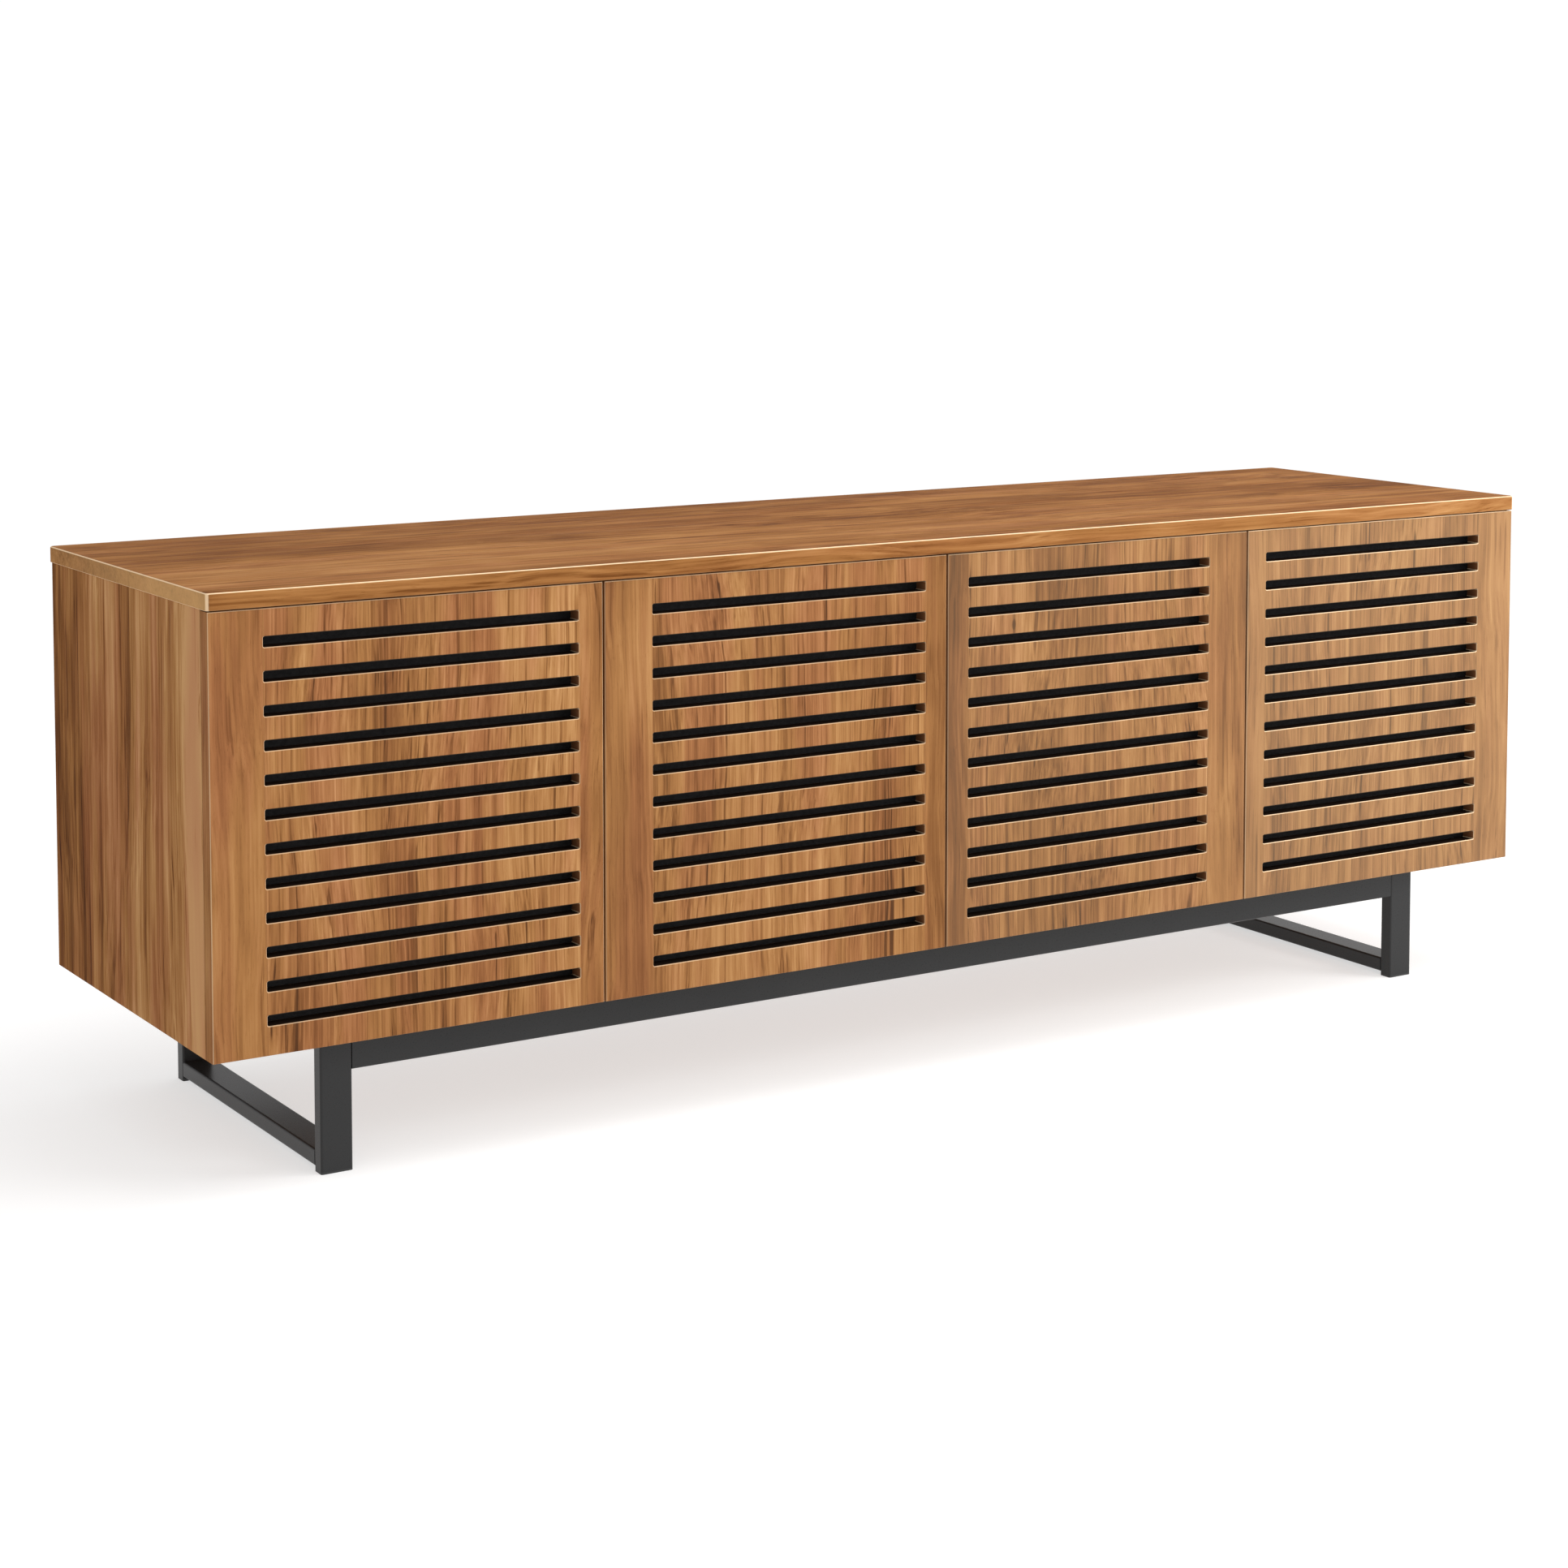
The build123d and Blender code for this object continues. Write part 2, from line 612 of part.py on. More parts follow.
def make_base():
    names = {-1: "left", 1: "right"}
    rows = {"front": (BASE_FRONT_Y, BASE_FRONT_Y + TUBE), "rear": (BASE_BACK_Y - TUBE, BASE_BACK_Y)}
    caps = []
    for side, hand in names.items():
        x0, x1 = post_span(side)
        for row, (y0, y1) in rows.items():
            save(f"{row}_{hand}_post", tube(x0, x1, y0, y1, CAP_THICK, LEG_HEIGHT, Axis.Z))
            foot = block(x0, x1, y0, y1, 0, CAP_THICK)
            caps.append(fillet(foot.edges().filter_by(Axis.Z), TUBE_CORNER_R))
        y0 = rows["front"][1]
        y1 = rows["rear"][0]
        save(f"{hand}_runner", tube(x0, x1, y0, y1, RUNNER_LIFT, RUNNER_LIFT + TUBE, Axis.Y))
        bar = tube(x0, x1, y0, y1, LEG_HEIGHT - TUBE, LEG_HEIGHT, Axis.Y)
        save(f"{hand}_top_bar", drill(bar, base_screws(BASE_SCREW_R)))
    inner = POST_X - POST_WIDTH / 2
    for row, (y0, y1) in rows.items():
        rail = tube(-inner, inner, y0, y1, LEG_HEIGHT - RAIL_HEIGHT, LEG_HEIGHT, Axis.X)
        save(f"{row}_rail", rail)
    save("foot_caps", *caps)
    screws = []
    for shank in base_screws(BASE_SCREW_R - FIT):
        low = shank.bounding_box().min.Z
        centre = shank.bounding_box().center()
        head_end = (centre.X, centre.Y, low - BASE_HEAD)
        head = rod(head_end, (centre.X, centre.Y, LEG_HEIGHT - TUBE), BASE_HEAD_R)
        screws.append(shank + head)
    save("base_screws", *screws)


make_carcass()
make_fasteners()
make_base()
make_hinges_and_latches()
make_doors()

leaf_reach = (DOOR_WIDTH - AXIS_U) * sin(radians(DOOR_TRAVEL))
print("door axes", [tuple(round(n, 3) for n in at(door, AXIS_U, AXIS_V)) for door in DOORS])
print("link axes", [tuple(round(n, 3) for n in at(door, LINK_PIN_U, LINK_PIN_V)) for door in DOORS])
print("open door reach", round(leaf_reach, 1), "height", TOP_UNDER + BOARD)
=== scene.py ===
import json
import math

import bmesh
import bpy
from mathutils import Euler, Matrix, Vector

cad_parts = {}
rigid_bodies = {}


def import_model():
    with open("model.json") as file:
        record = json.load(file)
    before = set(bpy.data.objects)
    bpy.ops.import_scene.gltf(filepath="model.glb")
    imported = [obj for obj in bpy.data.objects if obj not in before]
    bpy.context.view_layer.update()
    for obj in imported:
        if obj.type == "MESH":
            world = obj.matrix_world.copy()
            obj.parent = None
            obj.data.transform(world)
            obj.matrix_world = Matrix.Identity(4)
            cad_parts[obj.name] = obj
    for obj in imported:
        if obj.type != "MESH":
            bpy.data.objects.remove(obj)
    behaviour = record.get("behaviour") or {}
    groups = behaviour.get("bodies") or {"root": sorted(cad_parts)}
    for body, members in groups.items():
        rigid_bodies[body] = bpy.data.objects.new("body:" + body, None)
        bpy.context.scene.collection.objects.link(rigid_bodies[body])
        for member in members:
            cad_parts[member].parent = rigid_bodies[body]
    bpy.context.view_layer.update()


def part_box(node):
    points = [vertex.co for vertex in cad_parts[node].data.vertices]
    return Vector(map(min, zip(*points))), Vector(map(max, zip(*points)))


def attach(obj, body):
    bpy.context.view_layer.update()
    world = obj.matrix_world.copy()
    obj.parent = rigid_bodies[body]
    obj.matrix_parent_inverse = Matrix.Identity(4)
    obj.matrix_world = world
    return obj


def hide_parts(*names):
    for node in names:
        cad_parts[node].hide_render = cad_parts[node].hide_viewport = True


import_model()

# Metres, in the cabinet's own frame: X width, -Y front, Z up, floor at 0
MM = 0.001

# Doors hinged on their left edge, and the bays between the upright boards
HINGE_ON_LEFT = ("left", "centre_left")
BAYS = ("left", "centre", "right")

# How much lighter or darker the veneer of each upright board is
UPRIGHT_LIFTS = {
    "left_side_panel": 0.01,
    "right_side_panel": -0.17,
    "left_divider": 0.12,
    "right_divider": 0.16,
}

# The doors' leaves of veneer. lift: how much lighter or darker. The next two set the painted highlight
# on the eased edges: how pale it is, and how far the upright ones share it. The third is a greyish bloom,
# which the doors further right get more of as painted sheen, and the last is the red strain.
DOOR_LEAVES = {
    "left": dict(lift=-0.035, worn=0.42, upright_highlight_share=0.85, limed=0.04, ruddy=1.0),
    "centre_left": dict(lift=-0.06, worn=0.45, upright_highlight_share=0.35, limed=0.05, ruddy=0.9),
    "centre_right": dict(lift=-0.05, worn=0.58, upright_highlight_share=0.35, limed=0.12, ruddy=0.65),
    "right": dict(lift=-0.075, worn=0.85, upright_highlight_share=0.35, limed=0.19, ruddy=0.35),
}

# How much lighter or darker each door's plain stiles are than its slotted field
STILE_SHADES = {"left": 0.02, "centre_left": -0.05, "centre_right": -0.10, "right": -0.01}

# Door slab, as built: the stile on the hinge side, the slots, the rail under them, and the outer strip
# at either end that no slot reaches
HINGE_STILE = 59 * MM
SLOT_LENGTH = 360 * MM
BOTTOM_RAIL = 30.5 * MM
SLOT_PITCH = 35.3 * MM
SLOT_HEIGHT = 11 * MM
SLOT_COUNT = 12
OUTER_STRIP = 20 * MM

# Cloth sheets: the folded hem, and the mesh's faces across and up
HEM = 7 * MM
CLOTH_COLUMNS = 54
CLOTH_ROWS = 60

# Floor: half its side, and the radii where it starts to thin out and where it is gone
FLOOR_HALF = 40.0
FLOOR_SOLID = 1.6
FLOOR_GONE = 6.0

# Camera: place, degrees to the right of +Y, degrees above level, focal length and shift
CAMERA_PLACE = (-2.018, -3.103, 1.0316)
CAMERA_YAW = 32.062
CAMERA_PITCH = -4.188
CAMERA_LENS = 70.28
CAMERA_SHIFT_Y = -0.24


# --- Node helpers -------------------------------------------------------------------------------

def new_material(name):
    """A material with an empty tree but for its output and one Principled shader."""
    material = bpy.data.materials.new(name)
    material.use_nodes = True
    tree = material.node_tree
    tree.nodes.clear()
    output = tree.nodes.new("ShaderNodeOutputMaterial")
    shader = tree.nodes.new("ShaderNodeBsdfPrincipled")
    tree.links.new(shader.outputs["BSDF"], output.inputs["Surface"])
    return material, tree, shader


def put(tree, socket, value):
    """Links a socket, or sets a plain value."""
    if isinstance(value, bpy.types.NodeSocket):
        tree.links.new(value, socket)
    elif value is not None:
        socket.default_value = value


def maths(tree, operation, a, b=None, c=None):
    step = tree.nodes.new("ShaderNodeMath")
    step.operation = operation
    for socket, value in zip(step.inputs, (a, b, c)):
        put(tree, socket, value)
    return step.outputs[0]


def ramp01(tree, value, low, high):
    """0 below low, 1 above high, smooth between. Falls instead where low is above high."""
    step = tree.nodes.new("ShaderNodeMapRange")
    step.interpolation_type = "SMOOTHSTEP"
    flip = low > high
    put(tree, step.inputs["Value"], value)
    step.inputs["From Min"].default_value = min(low, high)
    step.inputs["From Max"].default_value = max(low, high)
    step.inputs["To Min"].default_value = 1.0 if flip else 0.0
    step.inputs["To Max"].default_value = 0.0 if flip else 1.0
    return step.outputs["Result"]


def mix_colour(tree, factor, a, b):
    step = tree.nodes.new("ShaderNodeMix")
    step.data_type = "RGBA"
    put(tree, step.inputs["Factor"], factor)
    put(tree, step.inputs["A"], a)
    put(tree, step.inputs["B"], b)
    return step.outputs["Result"]


def place(tree):
    """The object's own coordinates, in metres."""
    return tree.nodes.new("ShaderNodeTexCoord").outputs["Object"]


def stretched(tree, vector, scale, shift=(0, 0, 0)):
    step = tree.nodes.new("ShaderNodeMapping")
    put(tree, step.inputs["Vector"], vector)
    step.inputs["Scale"].default_value = scale
    step.inputs["Location"].default_value = shift
    return step.outputs["Vector"]


def noise(tree, vector, scale=1.0, detail=2.0, roughness=0.5):
    step = tree.nodes.new("ShaderNodeTexNoise")
    put(tree, step.inputs["Vector"], vector)
    step.inputs["Scale"].default_value = scale
    step.inputs["Detail"].default_value = detail
    step.inputs["Roughness"].default_value = roughness
    return step.outputs["Fac"]


def colour_ramp(tree, value, stops):
    step = tree.nodes.new("ShaderNodeValToRGB")
    put(tree, step.inputs["Fac"], value)
    elements = step.color_ramp.elements
    while len(elements) < len(stops):
        elements.new(0.5)
    for element, (position, colour) in zip(elements, stops):
        element.position = position
        element.color = (*colour, 1)
    return step.outputs["Color"]


def split(tree, vector):
    step = tree.nodes.new("ShaderNodeSeparateXYZ")
    put(tree, step.inputs[0], vector)
    return step.outputs


def bump(tree, shader, height, strength, distance):
    step = tree.nodes.new("ShaderNodeBump")
    step.inputs["Strength"].default_value = strength
    step.inputs["Distance"].default_value = distance
    put(tree, step.inputs["Height"], height)
    tree.links.new(step.outputs["Normal"], shader.inputs["Normal"])


def facing(tree):
    """The way the surface faces, in the object's own axes."""
    return split(tree, tree.nodes.new("ShaderNodeTexCoord").outputs["Normal"])


def arris_highlight(tree, strength, upright_highlight_share):
    """A mask of eased edges, whose faces lie along no axis, for a painted highlight as if they caught
    light.

    strength is its value where they look up, and the last argument the share of it that the upright ones
    have.
    """
    normal = facing(tree)
    sizes = [maths(tree, "ABSOLUTE", part) for part in normal]
    largest = maths(tree, "MAXIMUM", maths(tree, "MAXIMUM", sizes[0], sizes[1]), sizes[2])
    sideways = maths(tree, "MULTIPLY", ramp01(tree, sizes[0], 0.1, 0.4), upright_highlight_share)
    worn = maths(tree, "MAXIMUM", ramp01(tree, normal[2], 0.1, 0.4), sideways)
    worn = maths(tree, "MULTIPLY_ADD", worn, 0.9 * strength, 0.1 * strength)
    return maths(tree, "MULTIPLY", worn, ramp01(tree, largest, 0.97, 0.85))


# --- Wood ---------------------------------------------------------------------------------------

# Dark to light, the yellow and the red strain of the same veneer
YELLOW_STRAIN = (
    (0.00, (0.075, 0.024, 0.006)),
    (0.30, (0.185, 0.070, 0.019)),
    (0.55, (0.305, 0.134, 0.042)),
    (0.80, (0.410, 0.205, 0.075)),
    (1.00, (0.520, 0.290, 0.125)),
)
RED_STRAIN = (
    (0.00, (0.065, 0.020, 0.006)),
    (0.30, (0.165, 0.055, 0.017)),
    (0.55, (0.275, 0.105, 0.037)),
    (0.80, (0.375, 0.163, 0.066)),
    (1.00, (0.460, 0.225, 0.103)),
)
# Cream painted highlight on eased edges, as if they caught the light
ARRIS_HIGHLIGHT_TONE = (0.88, 0.66, 0.43, 1)
# Greyish bloom, which the doors further right get more of as painted sheen
BLOOM_AND_SHEEN_TONE = (0.400, 0.345, 0.235, 1)
PALE_EDGING = (0.62, 0.37, 0.155, 1)
# Dark sawn wall, also put on the slots' down-facing lips as painted shade
SAWN_CORE_AND_SHADE = (0.022, 0.014, 0.010, 1)
SAWN_END = (0.200, 0.082, 0.034, 1)

# Noise cells to the metre, across and along the grain, of each figure in the wood
SWAY = (4.5, 2.0)
RIPPLE = (16.0, 11.0)
WIDE = (10.0, 0.5)
CLOUDS = (17.0, 7.0)
HUES = (24.0, 2.4)
MIDDLING = (72.0, 1.5)
VEINS = (75.0, 3.0)
NARROW = (190.0, 3.0)
HAIRLINES = (270.0, 2.6)
THIN = (430.0, 5.5)
PORES = (1900.0, 60.0)
KNOTS = (22.0, 9.0)

# How far sway and ripple move the grain sideways, and how far away in the wood a door's slotted field lies
SWAY_REACH = 0.060
RIPPLE_REACH = 0.006
FIELD_JUMP = 3.7

# How far each figure moves the tone, which runs from 0, darkest, to 1, lightest
MEAN_TONE = 0.57
WIDE_WEIGHT = 1.9
CLOUD_WEIGHT = 0.45
MIDDLING_WEIGHT = 0.60
NARROW_WEIGHT = 0.85
THIN_WEIGHT = 0.80
RING_WEIGHT = 0.10
STILE_RING_WEIGHT = 0.13
HAIRLINE_WEIGHT = -0.42
VEIN_WEIGHT = -0.34
PORE_WEIGHT = -0.14
HALO_WEIGHT = -0.14
KNOT_WEIGHT = -0.50


def grain_scale(grain, cells):
    """A mapping scale for grain along X, Y or Z."""
    across, along = cells
    return tuple(along if axis == grain else across for axis in "XYZ")


def add_vectors(tree, a, b):
    step = tree.nodes.new("ShaderNodeVectorMath")
    step.operation = "ADD"
    put(tree, step.inputs[0], a)
    put(tree, step.inputs[1], b)
    return step.outputs[0]


def sway(tree, spot, grain, cells, reach, shift):
    """Moves the figure sideways by up to half of reach, so that the grain leans and waves."""
    drift = noise(tree, stretched(tree, spot, grain_scale(grain, cells), shift), detail=1.0)
    drift = maths(tree, "MULTIPLY", maths(tree, "SUBTRACT", drift, 0.5), reach)
    offset = tree.nodes.new("ShaderNodeCombineXYZ")
    for index, axis in enumerate("XYZ"):
        if axis != grain:
            put(tree, offset.inputs[index], drift)
    return add_vectors(tree, spot, offset.outputs[0])


def layer(tree, figure, grain, cells, shift, detail=2.0):
    """A noise drawn out along the grain, as much below 0 as above it."""
    place_in_noise = stretched(tree, figure, grain_scale(grain, cells), shift)
    value = noise(tree, place_in_noise, detail=detail, roughness=0.6)
    return maths(tree, "SUBTRACT", value, 0.5)


def other_leaf(tree, spot, zone):
    """The place in the wood that a part marked by zone is cut from: off to one side of the rest."""
    jump = tree.nodes.new("ShaderNodeCombineXYZ")
    put(tree, jump.inputs[2], maths(tree, "MULTIPLY", zone, FIELD_JUMP))
    return add_vectors(tree, spot, jump.outputs[0])


def growth_rings(tree, wide):
    """Level lines of the wide figure, which close into long pointed arches."""
    rings = maths(tree, "PINGPONG", maths(tree, "MULTIPLY", wide, 30.0), 1.0)
    return maths(tree, "SUBTRACT", maths(tree, "POWER", rings, 1.5), 0.4)


def hairlines(tree, figure, grain, middling, seed):
    """A mask of the crests of a thin figure, in loose groups."""
    lines = layer(tree, figure, grain, HAIRLINES, (seed + 2, seed + 6, seed), detail=1.0)
    return maths(tree, "MULTIPLY", ramp01(tree, lines, 0.09, 0.19), ramp01(tree, middling, 0.14, -0.12))


def dark_veins(tree, figure, grain, thin, seed):
    """A mask of veins, broken up along their length."""
    veins = layer(tree, figure, grain, VEINS, (seed, seed + 4, seed + 9))
    return maths(tree, "MULTIPLY", ramp01(tree, veins, 0.135, 0.20), ramp01(tree, thin, -0.14, 0.06))


def pin_knots(tree, figure, grain, shift, zone):
    """Masks of small rare knots, only within zone if there is one, and of the stain round each."""
    cells = tree.nodes.new("ShaderNodeTexVoronoi")
    put(tree, cells.inputs["Vector"], stretched(tree, figure, grain_scale(grain, KNOTS), shift))
    cells.inputs["Scale"].default_value = 1.0
    rare = ramp01(tree, split(tree, cells.outputs["Color"])[0], 0.78, 0.80)
    if zone is not None:
        rare = maths(tree, "MULTIPLY", rare, zone)
    knot = maths(tree, "MULTIPLY", ramp01(tree, cells.outputs["Distance"], 0.075, 0.03), rare)
    halo = maths(tree, "MULTIPLY", ramp01(tree, cells.outputs["Distance"], 0.30, 0.04), rare)
    return knot, halo


def weigh(tree, figure, weight, share, tone):
    """Adds a figure to the tone, by a weight and by a share that may vary over the surface."""
    return maths(tree, "MULTIPLY_ADD", maths(tree, "MULTIPLY", figure, weight), share, tone)


def wood_colour(tree, tone, hue, limed, ruddy):
    """The veneer's colour at a tone, between its yellow and its red strain."""
    strain = maths(tree, "MULTIPLY", ramp01(tree, hue, -0.10, 0.18), ruddy)
    yellow = colour_ramp(tree, tone, YELLOW_STRAIN)
    red = colour_ramp(tree, tone, RED_STRAIN)
    # Mixing towards the greyish tone: a faint bloom, and painted sheen where the share is larger
    return mix_colour(tree, limed, mix_colour(tree, strain, yellow, red), BLOOM_AND_SHEEN_TONE)


def veneer(name, grain="Z", seed=0.0, lift=0.0, broad=1.0, streaks=1.0, fine=0.6, **finish):
    """Lacquered walnut veneer.

    broad, streaks and fine weigh the wide, the middling and the thin figure. finish may hold the four
    values of DOOR_LEAVES besides lift: the painted highlight on eased edges, the share of it on upright
    ones, a greyish bloom that also stands in for painted sheen, and the red strain. It may also hold four
    functions: field marks a part with another, busier leaf, one marks sawn walls and the down-facing lips
    that get painted shade, band marks a pale edging, and shade adds to the tone.
    """
    material, tree, shader = new_material(name)
    spot = place(tree)
    shift = (seed * 3.1, seed * 1.7, seed * 2.3)
    zone = finish["field"](tree, spot) if "field" in finish else None
    source = spot if zone is None else other_leaf(tree, spot, zone)
    figure = sway(tree, source, grain, SWAY, SWAY_REACH, shift)
    figure = sway(tree, figure, grain, RIPPLE, RIPPLE_REACH, shift)

    wide = layer(tree, figure, grain, WIDE, shift, detail=3.0)
    middling = layer(tree, figure, grain, MIDDLING, shift, detail=3.0)
    narrow = layer(tree, figure, grain, NARROW, shift)
    thin = layer(tree, figure, grain, THIN, shift)
    pores = layer(tree, figure, grain, PORES, shift, detail=1.0)
    cloud = layer(tree, source, grain, CLOUDS, (seed, seed + 5, seed + 1))
    hue = layer(tree, figure, grain, HUES, (seed + 7, seed, seed + 3))
    open_pores = ramp01(tree, pores, -0.14, -0.22)
    knot, halo = pin_knots(tree, figure, grain, shift, zone)

    if zone is None:
        busy = fine
        ringed = RING_WEIGHT
    else:
        busy = maths(tree, "MULTIPLY_ADD", zone, 0.5 * fine, 0.5 * fine)
        ringed = maths(tree, "MULTIPLY_ADD", zone, -STILE_RING_WEIGHT, STILE_RING_WEIGHT)
    tone = maths(tree, "MULTIPLY_ADD", wide, WIDE_WEIGHT * broad, MEAN_TONE + lift)
    if "shade" in finish:
        tone = maths(tree, "ADD", tone, finish["shade"](tree, spot))
    tone = maths(tree, "MULTIPLY_ADD", cloud, CLOUD_WEIGHT, tone)
    tone = maths(tree, "MULTIPLY_ADD", middling, MIDDLING_WEIGHT * streaks, tone)
    tone = weigh(tree, narrow, NARROW_WEIGHT, busy, tone)
    tone = weigh(tree, thin, THIN_WEIGHT, busy, tone)
    tone = maths(tree, "MULTIPLY_ADD", growth_rings(tree, wide), ringed, tone)
    tone = weigh(tree, hairlines(tree, figure, grain, middling, seed), HAIRLINE_WEIGHT, busy, tone)
    tone = maths(tree, "MULTIPLY_ADD", dark_veins(tree, figure, grain, thin, seed), VEIN_WEIGHT, tone)
    tone = maths(tree, "MULTIPLY_ADD", open_pores, PORE_WEIGHT, tone)
    tone = maths(tree, "MULTIPLY_ADD", halo, HALO_WEIGHT, tone)
    tone = maths(tree, "MULTIPLY_ADD", knot, KNOT_WEIGHT, tone)

    colour = wood_colour(tree, tone, hue, finish.get("limed", 0.03), finish.get("ruddy", 1.0))
    if "band" in finish:
        colour = mix_colour(tree, finish["band"](tree), colour, PALE_EDGING)
    # Sawn walls get a dark sawn colour, and the down-facing lips get it too as painted shade
    if "core" in finish:
        end_grain = ramp01(tree, side_facing(tree), 0.6, 0.9)
        sawn = mix_colour(tree, end_grain, SAWN_CORE_AND_SHADE, SAWN_END)
        colour = mix_colour(tree, finish["core"](tree, spot), colour, sawn)
    # Eased edges get a cream painted highlight, strongest where they look up
    eased = arris_highlight(tree, finish.get("worn", 0.5), finish.get("upright_highlight_share", 0.85))
    put(tree, shader.inputs["Base Color"], mix_colour(tree, eased, colour, ARRIS_HIGHLIGHT_TONE))

    gloss = maths(tree, "MULTIPLY_ADD", middling, 0.25, 0.50)
    gloss = maths(tree, "MULTIPLY_ADD", open_pores, 0.12, gloss)
    put(tree, shader.inputs["Roughness"], gloss)
    shader.inputs["Specular IOR Level"].default_value = 0.005
    relief = maths(tree, "MULTIPLY_ADD", thin, 0.5, maths(tree, "MULTIPLY", open_pores, -0.6))
    bump(tree, shader, relief, 0.22, 0.12 * MM)
    return material


def side_facing(tree):
    """1 on faces that look along X, 0 on the others."""
    return maths(tree, "ABSOLUTE", facing(tree)[0])


def left_edge(tree):
    """A mask of the top's left end, which has a paler edging, strongest towards the front corner."""
    depth = split(tree, place(tree))[1]
    faces = ramp01(tree, facing(tree)[0], -0.5, -0.9)
    return maths(tree, "MULTIPLY", faces, maths(tree, "MULTIPLY", ramp01(tree, depth, 0.45, -0.30), 0.65))


def front_edging(tree, spot):
    """The top's own front edge is a little lighter than its face."""
    return maths(tree, "MULTIPLY", ramp01(tree, facing(tree)[1], -0.5, -0.9), 0.17)


def darker_to_the_back(tree, spot):
    """The leaf on a side board runs darker towards the back and lighter towards the front."""
    depth = split(tree, spot)[1]
    return maths(tree, "MULTIPLY_ADD", ramp01(tree, depth, 0.22, -0.24), 0.58, -0.18)


def slot_zone(name):
    """A mask of the slotted field of one door, in from both stiles."""
    low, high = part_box(f"{name}_door_panel")
    if name in HINGE_ON_LEFT:
        start = low[0] + HINGE_STILE
    else:
        start = high[0] - HINGE_STILE - SLOT_LENGTH

    def zone(tree, spot):
        across = split(tree, spot)[0]
        soft = 0.8 * MM
        left = ramp01(tree, across, start - soft, start + soft)
        right = ramp01(tree, across, start + SLOT_LENGTH + soft, start + SLOT_LENGTH - soft)
        return maths(tree, "MULTIPLY", left, right)

    return zone


def stile_shade(name):
    """How much lighter or darker than its slotted field one door's plain stiles are."""
    zone = slot_zone(name)
    change = STILE_SHADES[name]

    def shade(tree, spot):
        return maths(tree, "MULTIPLY_ADD", zone(tree, spot), -change, change)

    return shade


def slot_walls_and_lip_shade(name):
    """A mask of the sawn walls inside one door's slots, with their down-facing upper lips as painted shade.
    """
    low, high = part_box(f"{name}_door_panel")
    field_low = low[2] + BOTTOM_RAIL - MM
    field_high = field_low + (SLOT_COUNT - 1) * SLOT_PITCH + SLOT_HEIGHT + 2 * MM

    def walls(tree, spot):
        across, depth, height = split(tree, spot)
        deep = ramp01(tree, depth, low[1] + 0.9 * MM, low[1] + 1.3 * MM)
        # Faces that look down get the dark sawn colour too: painted shade on the slots' upper lips
        deep = maths(tree, "MAXIMUM", deep, ramp01(tree, facing(tree)[2], -0.3, -0.6))
        shallow = ramp01(tree, depth, high[1] - 0.1 * MM, high[1] - 0.3 * MM)
        inside = maths(tree, "MULTIPLY", deep, shallow)
        inside = maths(tree, "MULTIPLY", inside, ramp01(tree, height, field_low, field_low + 0.5 * MM))
        inside = maths(tree, "MULTIPLY", inside, ramp01(tree, height, field_high, field_high - 0.5 * MM))
        reach_low = ramp01(tree, across, low[0] + OUTER_STRIP, low[0] + OUTER_STRIP + MM)
        reach_high = ramp01(tree, across, high[0] - OUTER_STRIP, high[0] - OUTER_STRIP - MM)
        return maths(tree, "MULTIPLY", inside, maths(tree, "MULTIPLY", reach_low, reach_high))

    return walls


# --- Metals, plastics and cloth -----------------------------------------------------------------

def powder_coat():
    """Charcoal satin powder coat with a fine orange peel."""
    material, tree, shader = new_material("charcoal_powder_coat")
    spot = place(tree)
    peel = noise(tree, spot, scale=900.0, detail=2.0)
    cloud = noise(tree, spot, scale=9.0, detail=2.0)
    colour = mix_colour(tree, cloud, (0.0215, 0.0217, 0.0220, 1), (0.0280, 0.0282, 0.0286, 1))
    put(tree, shader.inputs["Base Color"], colour)
    put(tree, shader.inputs["Roughness"], maths(tree, "MULTIPLY_ADD", peel, 0.10, 0.24))
    shader.inputs["Specular IOR Level"].default_value = 0.20
    bump(tree, shader, peel, 0.12, 0.08 * MM)
    return material


def zinc():
    """Bright zinc plate, brushed by handling and a little clouded."""
    material, tree, shader = new_material("zinc_plate")
    spot = place(tree)
    cloud = noise(tree, spot, scale=160.0, detail=3.0)
    brush = noise(tree, stretched(tree, spot, (300.0, 3000.0, 3000.0)), detail=1.0)
    colour = mix_colour(tree, cloud, (0.46, 0.46, 0.45, 1), (0.66, 0.66, 0.64, 1))
    put(tree, shader.inputs["Base Color"], colour)
    shader.inputs["Metallic"].default_value = 1.0
    put(tree, shader.inputs["Roughness"], maths(tree, "MULTIPLY_ADD", brush, 0.2, 0.22))
    bump(tree, shader, brush, 0.1, 0.03 * MM)
    return material


def moulded(name, dark, light, roughness):
    """Moulded plastic or rubber with a faint spark-eroded grain."""
    material, tree, shader = new_material(name)
    grain = noise(tree, place(tree), scale=2500.0, detail=1.0)
    put(tree, shader.inputs["Base Color"], mix_colour(tree, grain, dark, light))
    put(tree, shader.inputs["Roughness"], maths(tree, "MULTIPLY_ADD", grain, 0.12, roughness))
    bump(tree, shader, grain, 0.15, 0.04 * MM)
    return material


def beech():
    """Pale dowel wood with short flecks along X."""
    material, tree, shader = new_material("dowel_beech")
    fleck = noise(tree, stretched(tree, place(tree), (150.0, 1500.0, 1500.0)), detail=2.0)
    colour = mix_colour(tree, fleck, (0.42, 0.27, 0.13, 1), (0.62, 0.45, 0.25, 1))
    put(tree, shader.inputs["Base Color"], colour)
    put(tree, shader.inputs["Roughness"], maths(tree, "MULTIPLY_ADD", fleck, 0.1, 0.6))
    return material


